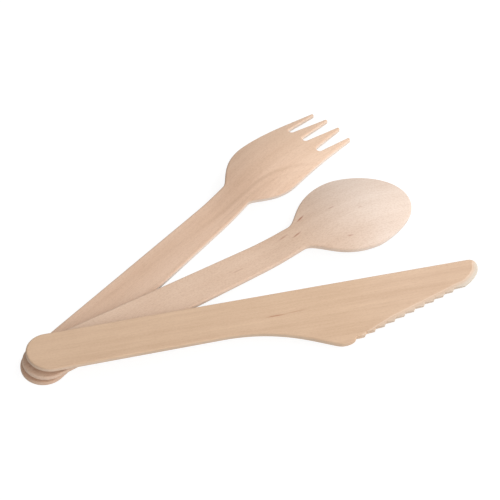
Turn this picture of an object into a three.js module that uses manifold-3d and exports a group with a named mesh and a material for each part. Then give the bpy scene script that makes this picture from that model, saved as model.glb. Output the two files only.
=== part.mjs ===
// Wooden cutlery set: a fork, a spoon and a knife of birch veneer, fanned out on a table.
// Fork and spoon are cut and pressed, and lie face down. The knife is flat, with a bevelled saw edge.
// Millimetres, +Z up. The set rests on Z = 0, with the origin under the middle of its box.

import * as THREE from 'three';
import { mergeVertices } from 'three/addons/utils/BufferGeometryUtils.js';
import Module from 'manifold-3d';

const wasm = await Module();
wasm.setup();

// Veneer and handles, alike on the three pieces
const SHEET = 1.8; // thickness of the veneer
const EASE = 0.3; // width of the eased arrises
const END_RADIUS = 8.2; // round handle end
const BEND = 94.2; // handle end to the start of the pressing

// Fork
const FORK_NECK_LENGTH = 107.3; // handle end to neck
const FORK_NECK_HALF_WIDTH = 5.96;
const FORK_NECK_REACH = 2.5; // how far the outline leans to the line of the handle
const FORK_SHOULDER_LENGTH = 16.35; // neck to the widest part
const FORK_SHOULDER_REACH = 9.75; // how round the shoulder is before the widest part
const FORK_HALF_WIDTH = 13.26;
const FORK_SIDE_REACH = 5.25; // the same after it
const FORK_HEAD_LENGTH = 36.15; // widest part to the tips of the inner tines
const TINE_COUNT = 4;
const TINE_LENGTH = 16;
const TINE_TIP_RADIUS = 0.52;
const TINE_TIP_SPACING = 5.87;
const TINE_SETBACK = 0.9; // the outer tines end this much earlier
const SLOT_ROOT_RADIUS = 1;
const SLOT_ROOT_SPACING = 6.6;
const FORK_CREST_LENGTH = 13.8; // neck to the highest part of the back
const FORK_CREST_HEIGHT = 3.4;
const FORK_TIP_DROP = 6.8; // tips below the plane of the handle
const FORK_TIP_SLOPE = 0.31;
const FORK_CROWN = 2.1; // how much the back is rounded across
const FORK_TIP_CROWN = 0.7; // the same at the tips

// Spoon
const BOWL_NECK_LENGTH = 111.4; // handle end to neck
const BOWL_NECK_HALF_WIDTH = 5.6;
const BOWL_NECK_REACH = 4.5;
const BOWL_SHOULDER_LENGTH = 24.3; // neck to the widest part
const BOWL_SHOULDER_REACH = 15.5;
const BOWL_HALF_WIDTH = 17.1;
const BOWL_SIDE_REACH = 4.5;
const BOWL_END_LENGTH = 23; // widest part to the tip
const BOWL_TIP_REACH = 12.1; // how blunt the tip is
const BOWL_CREST_LENGTH = 20;
const BOWL_CREST_HEIGHT = 4.2;
const BOWL_TIP_DROP = 2.9;
const BOWL_TIP_SLOPE = 0.47;
const BOWL_CROWN = 3.85;
const BOWL_CUP_LENGTH = 12.6; // neck to where the back is fully rounded

// Knife, whose depths are measured from the middle line of the handle
const GRIP_LENGTH = 69;
const GRIP_DEPTH = 7.65;
const GRIP_REACH = 23.9;
const BELLY_LENGTH = 39.65; // grip to the lowest part of the heel
const BELLY_REACH = 4.65;
const HEEL_DEPTH = 19.75;
const HEEL_LENGTH = 5.65; // lowest part of the heel to the first tooth
const HEEL_REACH = 4.15;
const EDGE_LENGTH = 40.2; // first tooth to last, along the handle
const EDGE_DEPTH = 17.35; // at the first tooth
const POINT_DEPTH = 3.25; // at the last tooth
const POINT_LENGTH = 10.9; // last tooth to the end of the knife
const POINT_SWELL = 0.3; // level at which the edge of the point swells most
const POINT_RADIUS = 3.2; // round corner between point and spine
const TOOTH_PITCH = 4.02;
const TOOTH_FLANK = 2.7; // long side of a tooth
const BEVEL_WIDTH = 2.7;
const EDGE_THICKNESS = 0.7;

// The fan
const KNIFE_TURN = THREE.MathUtils.degToRad(15.86); // handle of the knife, from +X
const KNIFE_SPACE = 12.5; // between knife and bowl, on the arc through the widest part of the bowl
const FORK_SPACE = 3.4; // between fork and bowl, on the same arc
const FORK_END_SHIFT = [-0.85, 1.9]; // the handle ends aren't quite in line
const KNIFE_END_SHIFT = [1.3, 0.1];
const SEAT_GAP = 0.3; // between pieces that rest on each other

// Finish
const FORK_COLOUR = 0xd9baa2;
const SPOON_COLOUR = 0xe2cab7;
const KNIFE_COLOUR = 0xd9bb9f;
const ROUGHNESS = 0.75;

// Facets
const ACROSS = 10;
const TIP_STEPS = 4;
const END_STEPS = 7;
const BEND_STEPS = 5;
const HEAD_STEPS = 12;

const point = (u, v) => new THREE.Vector2(u, v);
const mirrored = (p) => point(p.x, -p.y);

// Points of a curve after its first one.
const pointsOf = (curve, steps) => curve.getPoints(steps).slice(1);

// Left edge of a handle: the taper runs straight from its round end to the neck.
const TAPER_START = point(END_RADIUS, END_RADIUS);
const FORK_NECK = point(FORK_NECK_LENGTH, FORK_NECK_HALF_WIDTH);
const SPOON_NECK = point(BOWL_NECK_LENGTH, BOWL_NECK_HALF_WIDTH);

// Left edge from the middle of the handle end to the neck, with more points where it is pressed.
function handleEdge(neck) {
  const end = new THREE.EllipseCurve(END_RADIUS, 0, END_RADIUS, END_RADIUS, Math.PI, Math.PI / 2, true);
  const bend = TAPER_START.clone().lerp(neck, (BEND - END_RADIUS) / (neck.x - END_RADIUS));
  return [...end.getPoints(END_STEPS), bend, ...pointsOf(new THREE.LineCurve(bend, neck), BEND_STEPS)];
}

// Left edge from the neck to the widest part, as a curve that leaves the handle along its taper.
function shoulderEdge(neck, length, halfWidth, neckReach, shoulderReach) {
  const taper = neck.clone().sub(TAPER_START).normalize();
  const widest = point(neck.x + length, halfWidth);
  const afterNeck = neck.clone().addScaledVector(taper, neckReach);
  return new THREE.CubicBezierCurve(neck, afterNeck, point(widest.x - shoulderReach, halfWidth), widest);
}

// Height of the pressed sheet over the plane of the handle: it rises from the bend to the crest of
// the back, falls to the tip, and is rounded across, fully so from the cup on.
function pressing({ cup, crest, crestHeight, tip, tipDrop, tipSlope, crown, tipCrown, halfWidth }) {
  const reach = tip - crest;
  return (u, v) => {
    const rise = THREE.MathUtils.smoothstep(u, BEND, crest) * crestHeight;
    const t = Math.max(0, u - crest) / reach;
    const fall = (crestHeight + tipDrop) * t * t * (3 - 2 * t) + tipSlope * reach * t * t * (t - 1);
    const round = THREE.MathUtils.lerp(crown, tipCrown, t) * (v / halfWidth) ** 2;
    return rise - fall - THREE.MathUtils.smoothstep(u, BEND, cup) * round;
  };
}

// A pressed piece, as a loft: one ring of points round the section at each point of its left edge.
function pressedPiece(edge, height) {
  const last = edge.length - 1;
  const vertices = [];
  edge.forEach((p, i) => {
    const before = i > 0 ? edge[i - 1] : mirrored(edge[1]);
    const after = i < last ? edge[i + 1] : mirrored(edge[last - 1]);
    const outward = after.clone().sub(before).normalize().rotateAround(point(0, 0), Math.PI / 2);
    const inner = p.clone().addScaledVector(outward, -EASE);
    const add = (u, v, z) => vertices.push(u, v, z + height(u, v));
    for (let j = 0; j <= ACROSS; j++) add(inner.x, inner.y * (1 - 2 * j / ACROSS), 0);
    add(p.x, -p.y, EASE);
    add(p.x, -p.y, SHEET - EASE);
    for (let j = 0; j <= ACROSS; j++) add(inner.x, inner.y * (2 * j / ACROSS - 1), SHEET);
    add(p.x, p.y, SHEET - EASE);
    add(p.x, p.y, EASE);
  });
  const ring = 2 * (ACROSS + 1) + 4;
  const triangles = [];
  for (let i = 0; i < last; i++) {
    for (let k = 0; k < ring; k++) {
      const a = i * ring + k;
      const b = i * ring + (k + 1) % ring;
      triangles.push(a, a + ring, b, b, a + ring, b + ring);
    }
  }
  return closedGeometry(vertices, triangles);
}

// An indexed geometry whose shared points are merged, without the triangles that this empties.
function closedGeometry(vertices, triangles) {
  const loose = new THREE.BufferGeometry();
  loose.setAttribute('position', new THREE.Float32BufferAttribute(vertices, 3));
  loose.setIndex(triangles);
  const merged = mergeVertices(loose);
  const corners = merged.index.array;
  const kept = [];
  for (let i = 0; i < corners.length; i += 3) {
    const [a, b, c] = corners.slice(i, i + 3);
    if (a !== b && b !== c && c !== a) kept.push(a, b, c);
  }
  merged.setIndex(kept);
  return merged;
}

// Solids for cutting, and the geometry that comes back from a cut.
function toSolid(geometry) {
  const bare = new THREE.BufferGeometry();
  bare.setAttribute('position', geometry.getAttribute('position'));
  bare.setIndex(geometry.index);
  const merged = mergeVertices(bare);
  const mesh = new wasm.Mesh({
    numProp: 3,
    vertProperties: merged.getAttribute('position').array,
    triVerts: new Uint32Array(merged.index.array),
  });
  return new wasm.Manifold(mesh);
}

function toGeometry(solid) {
  const mesh = solid.getMesh();
  return closedGeometry(mesh.vertProperties, Array.from(mesh.triVerts));
}

// A flat plate of veneer whose faces slope down over a width inside its outline, and over one outside it.
function plate(shape, slope, width, outside) {
  const rise = slope * (width + outside);
  const flat = new THREE.ExtrudeGeometry(shape, {
    depth: SHEET - 2 * rise,
    bevelThickness: rise,
    bevelSize: width + outside,
    bevelOffset: -width,
    bevelSegments: 1,
    curveSegments: HEAD_STEPS,
  });
  return flat.translate(0, 0, rise);
}

// Stations along the fork, and the outer tine's tip as the place of its centre.
const FORK_WIDEST = FORK_NECK_LENGTH + FORK_SHOULDER_LENGTH;
const FORK_TIP = FORK_WIDEST + FORK_HEAD_LENGTH;
const MIDDLE_TINE = (TINE_COUNT - 1) / 2;
const OUTER_TINE = point(FORK_TIP - TINE_TIP_RADIUS - TINE_SETBACK, MIDDLE_TINE * TINE_TIP_SPACING);

// The space in front of and between the tines, as one comb-shaped cutter.
function tineCutter() {
  const beyond = FORK_TIP + TINE_LENGTH;
  const aside = 2 * FORK_HALF_WIDTH;
  const root = FORK_TIP - TINE_LENGTH + SLOT_ROOT_RADIUS;
  const quarter = Math.PI / 2;
  const comb = new THREE.Shape();
  comb.moveTo(OUTER_TINE.x, aside);
  for (let i = 0; i < TINE_COUNT; i++) {
    const side = MIDDLE_TINE - i;
    const isOuter = Math.abs(side) === MIDDLE_TINE;
    const tipCentre = isOuter ? OUTER_TINE.x : FORK_TIP - TINE_TIP_RADIUS;
    comb.absarc(tipCentre, side * TINE_TIP_SPACING, TINE_TIP_RADIUS, quarter, -quarter, true);
    if (i < TINE_COUNT - 1) {
      const slot = (side - 1 / 2) * SLOT_ROOT_SPACING;
      comb.absarc(root, slot, SLOT_ROOT_RADIUS, quarter, 3 * quarter, false);
    }
  }
  comb.lineTo(OUTER_TINE.x, -aside);
  comb.lineTo(beyond, -aside);
  comb.lineTo(beyond, aside);
  const reach = FORK_TIP_DROP + FORK_CREST_HEIGHT + FORK_CROWN + SHEET;
  const options = { depth: 2 * reach, bevelEnabled: false, curveSegments: TIP_STEPS };
  return new THREE.ExtrudeGeometry(comb, options).translate(0, 0, -reach);
}

function forkGeometry() {
  const shoulder = shoulderEdge(
    FORK_NECK, FORK_SHOULDER_LENGTH, FORK_HALF_WIDTH, FORK_NECK_REACH, FORK_SHOULDER_REACH,
  );
  const outerEdge = OUTER_TINE.clone().add(point(0, TINE_TIP_RADIUS));
  const bulge = point(FORK_WIDEST + FORK_SIDE_REACH, FORK_HALF_WIDTH);
  const side = new THREE.QuadraticBezierCurve(shoulder.v3, bulge, outerEdge);
  const nose = new THREE.EllipseCurve(outerEdge.x, 0, TINE_LENGTH / 2, outerEdge.y, Math.PI / 2, 0, true);
  const edge = [
    ...handleEdge(FORK_NECK),
    ...pointsOf(shoulder, HEAD_STEPS),
    ...pointsOf(side, HEAD_STEPS),
    ...pointsOf(nose, END_STEPS),
  ];
  const height = pressing({
    cup: FORK_NECK_LENGTH + FORK_CREST_LENGTH,
    crest: FORK_NECK_LENGTH + FORK_CREST_LENGTH,
    crestHeight: FORK_CREST_HEIGHT,
    tip: FORK_TIP,
    tipDrop: FORK_TIP_DROP,
    tipSlope: FORK_TIP_SLOPE,
    crown: FORK_CROWN,
    tipCrown: FORK_TIP_CROWN,
    halfWidth: FORK_HALF_WIDTH,
  });
  const blank = toSolid(pressedPiece(edge, height));
  return toGeometry(blank.subtract(toSolid(tineCutter())));
}

// Station of the widest part of the bowl.
const BOWL_WIDEST = BOWL_NECK_LENGTH + BOWL_SHOULDER_LENGTH;

function spoonGeometry() {
  const tip = BOWL_WIDEST + BOWL_END_LENGTH;
  const shoulder = shoulderEdge(
    SPOON_NECK, BOWL_SHOULDER_LENGTH, BOWL_HALF_WIDTH, BOWL_NECK_REACH, BOWL_SHOULDER_REACH,
  );
  const bowlEnd = new THREE.CubicBezierCurve(
    shoulder.v3,
    point(BOWL_WIDEST + BOWL_SIDE_REACH, BOWL_HALF_WIDTH),
    point(tip, BOWL_TIP_REACH),
    point(tip, 0),
  );
  const head = [...pointsOf(shoulder, HEAD_STEPS), ...pointsOf(bowlEnd, HEAD_STEPS)];
  const edge = [...handleEdge(SPOON_NECK), ...head];
  return pressedPiece(edge, pressing({
    cup: BOWL_NECK_LENGTH + BOWL_CUP_LENGTH,
    crest: BOWL_NECK_LENGTH + BOWL_CREST_LENGTH,
    crestHeight: BOWL_CREST_HEIGHT,
    tip,
    tipDrop: BOWL_TIP_DROP,
    tipSlope: BOWL_TIP_SLOPE,
    crown: BOWL_CROWN,
    tipCrown: BOWL_CROWN,
    halfWidth: BOWL_HALF_WIDTH,
  }));
}

// Stations along the knife, from its handle end.
const HEEL = GRIP_LENGTH + BELLY_LENGTH;
const FIRST_TOOTH = HEEL + HEEL_LENGTH;
const LAST_TOOTH = FIRST_TOOTH + EDGE_LENGTH;
const KNIFE_LENGTH = LAST_TOOTH + POINT_LENGTH;

// The saw edge ends at the lower corner of the point, and the slanted edge above it at the round corner.
const POINT_CORNER = point(LAST_TOOTH + TOOTH_FLANK, -POINT_DEPTH);
const POINT_TOP = point(KNIFE_LENGTH, END_RADIUS - POINT_RADIUS);

// The bellied edge of the point, drawn upwards from its lower corner.
function drawPoint(shape) {
  shape.quadraticCurveTo(KNIFE_LENGTH, POINT_SWELL, POINT_TOP.x, POINT_TOP.y);
}

function knifeOutline() {
  const outline = new THREE.Shape();
  outline.moveTo(GRIP_LENGTH, -GRIP_DEPTH);
  outline.bezierCurveTo(
    GRIP_LENGTH + GRIP_REACH, -GRIP_DEPTH,
    HEEL - BELLY_REACH, -HEEL_DEPTH,
    HEEL, -HEEL_DEPTH,
  );
  outline.quadraticCurveTo(HEEL + HEEL_REACH, -HEEL_DEPTH, FIRST_TOOTH, -EDGE_DEPTH);
  const teeth = Math.round(EDGE_LENGTH / TOOTH_PITCH);
  for (let i = 0; i <= teeth; i++) {
    const root = point(FIRST_TOOTH, -EDGE_DEPTH).lerp(point(LAST_TOOTH, -POINT_DEPTH), i / teeth);
    outline.lineTo(root.x, root.y);
    outline.lineTo(root.x + TOOTH_FLANK, root.y);
  }
  drawPoint(outline);
  outline.absarc(KNIFE_LENGTH - POINT_RADIUS, POINT_TOP.y, POINT_RADIUS, 0, Math.PI / 2, false);
  outline.lineTo(END_RADIUS, END_RADIUS);
  outline.absarc(END_RADIUS, 0, END_RADIUS, Math.PI / 2, 3 * Math.PI / 2, false);
  return outline;
}

// Everything inside the bevel: it follows the saw edge and the point, and clears the rest of the knife.
function bevelOutline() {
  const edgeSlope = (EDGE_DEPTH - POINT_DEPTH) / EDGE_LENGTH;
  const back = POINT_CORNER.clone().sub(point(KNIFE_LENGTH, edgeSlope * KNIFE_LENGTH));
  const outline = new THREE.Shape();
  outline.moveTo(back.x, back.y);
  outline.lineTo(POINT_CORNER.x, POINT_CORNER.y);
  drawPoint(outline);
  outline.lineTo(KNIFE_LENGTH, KNIFE_LENGTH);
  outline.lineTo(back.x, KNIFE_LENGTH);
  return outline;
}

function knifeGeometry() {
  const blank = plate(knifeOutline(), 1, EASE, 0);
  const slope = (SHEET - EDGE_THICKNESS) / 2 / BEVEL_WIDTH;
  const heelRoom = EDGE_THICKNESS / 4 / slope;
  const bevel = plate(bevelOutline(), slope, BEVEL_WIDTH, heelRoom);
  return toGeometry(toSolid(blank).intersect(toSolid(bevel)));
}

// A piece on the table: its geometry, its turn in plan, the place of the centre of its round end, and
// the straight left edge of its handle and the mirror image of the right one.
function fanPiece(name, geometry, colour, turn, endShift, leftEdge, rightMirrored) {
  const end = point(...endShift);
  const toPlan = (p) => point(p.x - END_RADIUS, p.y).rotateAround(point(0, 0), turn).add(end);
  const along = (p) => p.clone().sub(end).rotateAround(point(0, 0), -turn).x + END_RADIUS;
  const material = new THREE.MeshStandardMaterial({ color: colour, roughness: ROUGHNESS, metalness: 0 });
  const mesh = new THREE.Mesh(geometry, material);
  mesh.name = name;
  const right = rightMirrored.map(mirrored).map(toPlan);
  return { mesh, turn, toPlan, along, left: leftEdge.map(toPlan), right };
}

// Where two straight edges cross in plan.
function crossing([a, b], [c, d]) {
  const ab = b.clone().sub(a);
  const cd = d.clone().sub(c);
  return a.clone().addScaledVector(ab, c.clone().sub(a).cross(cd) / ab.cross(cd));
}

// Pitch at which a piece, held at one station and height, meets the table with its head.
function tipDown(geometry, station, height) {
  const vertices = geometry.getAttribute('position');
  let pitch = -Math.PI / 2;
  for (let i = 0; i < vertices.count; i++) {
    const ahead = vertices.getX(i) - station;
    const reach = Math.hypot(ahead, vertices.getZ(i));
    if (ahead > 0 && reach > height) {
      pitch = Math.max(pitch, -Math.asin(height / reach) - Math.atan2(vertices.getZ(i), ahead));
    }
  }
  return pitch;
}

// Lays a piece down: on the table with both ends, or across the handle below it with its head on the table.
function lay(piece, below) {
  let station = 0;
  let height = 0;
  if (below) {
    const contact = crossing(below.right, piece.left);
    const top = below.lift + below.along(contact) * Math.sin(below.pitch) + SHEET * Math.cos(below.pitch);
    station = piece.along(contact);
    height = top + SEAT_GAP;
  }
  piece.pitch = tipDown(piece.mesh.geometry, station, height);
  piece.lift = height - station * Math.sin(piece.pitch);
  const start = piece.toPlan(point(0, 0));
  piece.mesh.position.set(start.x, start.y, piece.lift);
  piece.mesh.rotation.set(0, -piece.pitch, piece.turn, 'ZYX');
}

// The knife sets the direction of the fan. The heads open it by their widths and the spaces between.
const bowlRadius = BOWL_WIDEST - END_RADIUS;
const spoonTurn = KNIFE_TURN + (END_RADIUS + KNIFE_SPACE + BOWL_HALF_WIDTH) / bowlRadius;
const forkTurn = spoonTurn + (BOWL_HALF_WIDTH + FORK_SPACE + FORK_HALF_WIDTH) / bowlRadius;

const forkEdge = [TAPER_START, FORK_NECK];
const spoonEdge = [TAPER_START, SPOON_NECK];
const spine = [TAPER_START, point(KNIFE_LENGTH, END_RADIUS)];
const grip = [TAPER_START, point(GRIP_LENGTH, GRIP_DEPTH)];

const fork = fanPiece('fork', forkGeometry(), FORK_COLOUR, forkTurn, FORK_END_SHIFT, forkEdge, forkEdge);
const spoon = fanPiece('spoon', spoonGeometry(), SPOON_COLOUR, spoonTurn, [0, 0], spoonEdge, spoonEdge);
const knife = fanPiece('knife', knifeGeometry(), KNIFE_COLOUR, KNIFE_TURN, KNIFE_END_SHIFT, spine, grip);

lay(fork);
lay(spoon, fork);
lay(knife, spoon);

const set = new THREE.Group();
set.add(fork.mesh, spoon.mesh, knife.mesh);
set.updateMatrixWorld(true);
const box = new THREE.Box3().setFromObject(set, true);
const middle = box.getCenter(new THREE.Vector3());
set.position.set(-middle.x, -middle.y, -box.min.z);

export default set;
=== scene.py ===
# %% [markdown]
# Wooden cutlery set
# This lesson dresses a fork, a spoon and a knife of birch veneer, fanned out on a white table.
# Real ones are stamped from a thin sheet of wood. Fork and spoon are then pressed in a hot mould, which
# gives them their curves, and the knife is ground to a saw edge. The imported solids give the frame: where
# each piece lies, and how large it is. Every piece made here takes its place from them.

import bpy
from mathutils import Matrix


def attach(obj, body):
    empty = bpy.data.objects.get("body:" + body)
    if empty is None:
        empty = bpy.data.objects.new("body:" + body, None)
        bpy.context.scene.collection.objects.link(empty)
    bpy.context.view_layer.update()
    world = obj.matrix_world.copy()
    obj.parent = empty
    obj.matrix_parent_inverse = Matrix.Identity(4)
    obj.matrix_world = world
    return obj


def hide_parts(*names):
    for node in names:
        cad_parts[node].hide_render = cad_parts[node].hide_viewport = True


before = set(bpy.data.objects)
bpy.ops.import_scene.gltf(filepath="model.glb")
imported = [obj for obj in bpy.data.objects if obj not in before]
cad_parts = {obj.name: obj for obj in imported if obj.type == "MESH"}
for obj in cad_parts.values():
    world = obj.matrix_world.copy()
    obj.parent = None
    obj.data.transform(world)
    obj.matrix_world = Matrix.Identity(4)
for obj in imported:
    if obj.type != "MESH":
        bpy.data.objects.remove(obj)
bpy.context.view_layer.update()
print("solids:", sorted(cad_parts))

# %% [markdown]
# The camera
# The camera comes first, because every later choice is judged through it. The picture was taken from well
# back with a long lens, so the handles hardly taper with distance. A lens is set in millimetres on a
# sensor of 36 mm, and the photograph gives it in pixels, so the two are tied by the picture's width.
# The camera looks along +Y and down at half a right angle or so, with the whole fan in the frame.

# %% Camera
import math
import bpy
from mathutils import Matrix, Vector

MM = 0.001
PICTURE_WIDTH = 500
FOCAL_LENGTH = 4512
SENSOR_WIDTH = 36
CAMERA_HEIGHT = math.radians(49.02)
CAMERA_DISTANCE = 1600 * MM
LOOK_AT = Vector((-0.5, 0, 0)) * MM

camera_data = bpy.data.cameras.new("camera")
camera_data.sensor_width = SENSOR_WIDTH
camera_data.lens = SENSOR_WIDTH * FOCAL_LENGTH / PICTURE_WIDTH
camera = bpy.data.objects.new("camera", camera_data)
to_camera = Vector((0, -math.cos(CAMERA_HEIGHT), math.sin(CAMERA_HEIGHT)))
camera.location = LOOK_AT + to_camera * CAMERA_DISTANCE
camera.rotation_euler = to_camera.to_track_quat("Z", "Y").to_euler()
bpy.context.scene.collection.objects.link(camera)
bpy.context.scene.camera = camera
bpy.context.scene.view_settings.view_transform = "Standard"
print("camera with a lens of", round(camera_data.lens, 1), "mm")

# %% [markdown]
# Node trees
# Materials and Geometry Nodes are both trees of nodes, and both are wired in the same way here: a node
# is added with its options, and each of its inputs gets either a plain value or a link from another node.
# One helper does that, and a second one writes a line of arithmetic.

# %% Helpers for node trees
def add_node(tree, kind, inputs=None, **options):
    """Adds a node, sets its options, and gives each named input a value or a link."""
    node = tree.nodes.new(kind)
    for option, value in options.items():
        setattr(node, option, value)
    for socket, value in (inputs or {}).items():
        if isinstance(value, bpy.types.NodeSocket):
            tree.links.new(value, node.inputs[socket])
        else:
            node.inputs[socket].default_value = value
    return node


def calculate(tree, operation, *values):
    """One step of arithmetic, as a Math node. Returns its result."""
    return add_node(tree, "ShaderNodeMath", dict(enumerate(values)), operation=operation).outputs[0]


def ramp(tree, value, start, end, low=0.0, high=1.0, shape="LINEAR"):
    """Maps start..end to low..high, and stops at both ends."""
    inputs = {"Value": value, "From Min": start, "From Max": end, "To Min": low, "To Max": high}
    return add_node(tree, "ShaderNodeMapRange", inputs, interpolation_type=shape).outputs[0]


print("helpers ready")

# %% [markdown]
# Light
# The pieces were photographed on white, with one large soft light on the right, a little behind them, a
# white card in front on the right that throws light on the cut edges, and pale walls all round. Two area
# lights stand for the light and the card, and a plain world for the walls. Together they light a level
# face at about 1, so that a colour comes out much as it is written. The light is near enough that the
# blade on the right is brighter than the handle ends on the left.

# %% World and lights
WHITE = (1, 1, 1, 1)
WORLD_LEVEL = 0.32
LIGHT_LEVEL = 0.41
CARD_LEVEL = 0.32


def seen_directly(tree):
    """1 for rays that show the background itself, 0 for rays that only light the object."""
    path = tree.nodes.new("ShaderNodeLightPath")
    seen = calculate(tree, "MAXIMUM", path.outputs["Is Camera Ray"], path.outputs["Is Glossy Ray"])
    return calculate(tree, "MAXIMUM", seen, path.outputs["Is Transmission Ray"])


world = bpy.data.worlds.new("white_room")
world.use_nodes = True
world_tree = world.node_tree
world_tree.nodes["Background"].inputs["Color"].default_value = WHITE
world_strength = ramp(world_tree, seen_directly(world_tree), 0, 1, WORLD_LEVEL, 1)
world_tree.links.new(world_strength, world_tree.nodes["Background"].inputs["Strength"])
bpy.context.scene.world = world


def area_light(name, size, distance, azimuth, height, level):
    """A round area light that aims at the middle of the set, and lights a level face there at a level."""
    data = bpy.data.lights.new(name, "AREA")
    data.shape = "DISK"
    data.size = size
    data.energy = level * math.pi**2 * distance**2 / math.sin(math.radians(height))
    light = bpy.data.objects.new(name, data)
    turn = Matrix.Rotation(math.radians(azimuth), 3, "Z")
    tilt = Matrix.Rotation(math.radians(-height), 3, "Y")
    direction = turn @ tilt @ Vector((1, 0, 0))
    light.location = direction * distance
    light.rotation_euler = direction.to_track_quat("Z", "Y").to_euler()
    bpy.context.scene.collection.objects.link(light)
    print(name, "of", round(data.energy, 1), "W at", distance, "m")


area_light("soft_light", size=0.6, distance=0.66, azimuth=28, height=36, level=LIGHT_LEVEL)
area_light("white_card", size=0.8, distance=0.8, azimuth=-58, height=36, level=CARD_LEVEL)

# %% [markdown]
# Table
# The table is white wherever the camera looks straight at it, but it still has to catch a soft shadow,
# so its shader adds a little of a real matt surface to a glow that is nearly white: together they are
# white in the light, and a trace darker in a shadow. For every other ray it is a pale matt table, which
# throws some light back on the undersides of the pieces.

# %% Table
TABLE_SIZE = 8
TABLE_CLEARANCE = 0.1 * MM
TABLE_SHADE = 0.78
TABLE_GLOW = 0.9
SHADOW_SHARE = 0.2

table_finish = bpy.data.materials.new("white_table")
table_finish.use_nodes = True
table_tree = table_finish.node_tree
table_tree.nodes.clear()
matt = add_node(table_tree, "ShaderNodeBsdfDiffuse", {"Color": (TABLE_SHADE,) * 3 + (1,)})
shadow_catcher = add_node(table_tree, "ShaderNodeBsdfDiffuse", {"Color": (SHADOW_SHARE,) * 3 + (1,)})
glow = add_node(table_tree, "ShaderNodeEmission", {"Color": WHITE, "Strength": TABLE_GLOW})
shown = add_node(table_tree, "ShaderNodeAddShader", {0: glow.outputs[0], 1: shadow_catcher.outputs[0]})
table_mix = add_node(table_tree, "ShaderNodeMixShader",
                     {0: seen_directly(table_tree), 1: matt.outputs[0], 2: shown.outputs[0]})
add_node(table_tree, "ShaderNodeOutputMaterial", {"Surface": table_mix.outputs[0]})

half_table = TABLE_SIZE / 2
table_mesh = bpy.data.meshes.new("table")
table_corners = [(-half_table, -half_table), (half_table, -half_table), (half_table, half_table),
                 (-half_table, half_table)]
table_mesh.from_pydata([(x, y, -TABLE_CLEARANCE) for x, y in table_corners], [], [(0, 1, 2, 3)])
table_mesh.materials.append(table_finish)
table = bpy.data.objects.new("table", table_mesh)
bpy.context.scene.collection.objects.link(table)
print("table of", TABLE_SIZE, "m")

# %% [markdown]
# Lines of an outline
# Each piece starts as the drawing of its outline, seen from above with the handle's middle line as the
# axis: u runs from the handle end to the head, v across. The lines are arcs, straight lines and Bezier
# curves, each turned into a run of points. A designer sets the same few sizes, so changing one of them
# changes the drawing.

# %% Arcs and Bezier curves
import numpy as np

QUARTER = math.pi / 2


def point(u, v):
    """A point of the drawing: u along the piece, v across it."""
    return np.array((u, v))


def bezier(controls, steps):
    """Points of a Bezier curve after its first one, by repeated halving of its control lines."""
    run = []
    for step in range(1, steps + 1):
        layer = list(controls)
        while len(layer) > 1:
            layer = [a + (b - a) * step / steps for a, b in zip(layer, layer[1:])]
        run.append(layer[0])
    return run


def arc(centre, radius, start, end, steps):
    """Points of an arc, its first one among them."""
    angles = np.linspace(start, end, steps + 1)
    return [centre + radius * point(math.cos(a), math.sin(a)) for a in angles]


print("a quarter circle has", len(arc(point(0, 0), 1, 0, QUARTER, 8)), "points")

# %% [markdown]
# The flat blank
# A blank is the outline filled with rows of quads, fine enough to be pressed without facets. Its rim
# needs care: on real cutlery the cut edges are tumbled until their corners are round, and that thin
# rounded line catches the light all round each piece. A Bevel modifier would do on a box, but at the
# narrow tips of the tines it clamps. Here the rim is built in instead, as rings of points that step
# inwards from the outline, and each ring stores how far the face drops there. One more ring just inside
# keeps the shading of the flat face flat.

# %% Rim and filling of a blank
RIM_STEPS = 4
RIM_SUPPORT = 1.4


def bridge(faces, row, following):
    """Faces between two rows of points. A row of one point is a pole."""
    if len(row) == 1:
        faces.extend((row[0], a, b) for a, b in zip(following, following[1:]))
    elif len(following) == 1:
        faces.extend((a, following[0], b) for a, b in zip(row, row[1:]))
    else:
        faces.extend((row[j], following[j], following[j + 1], row[j + 1]) for j in range(len(row) - 1))


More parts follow.
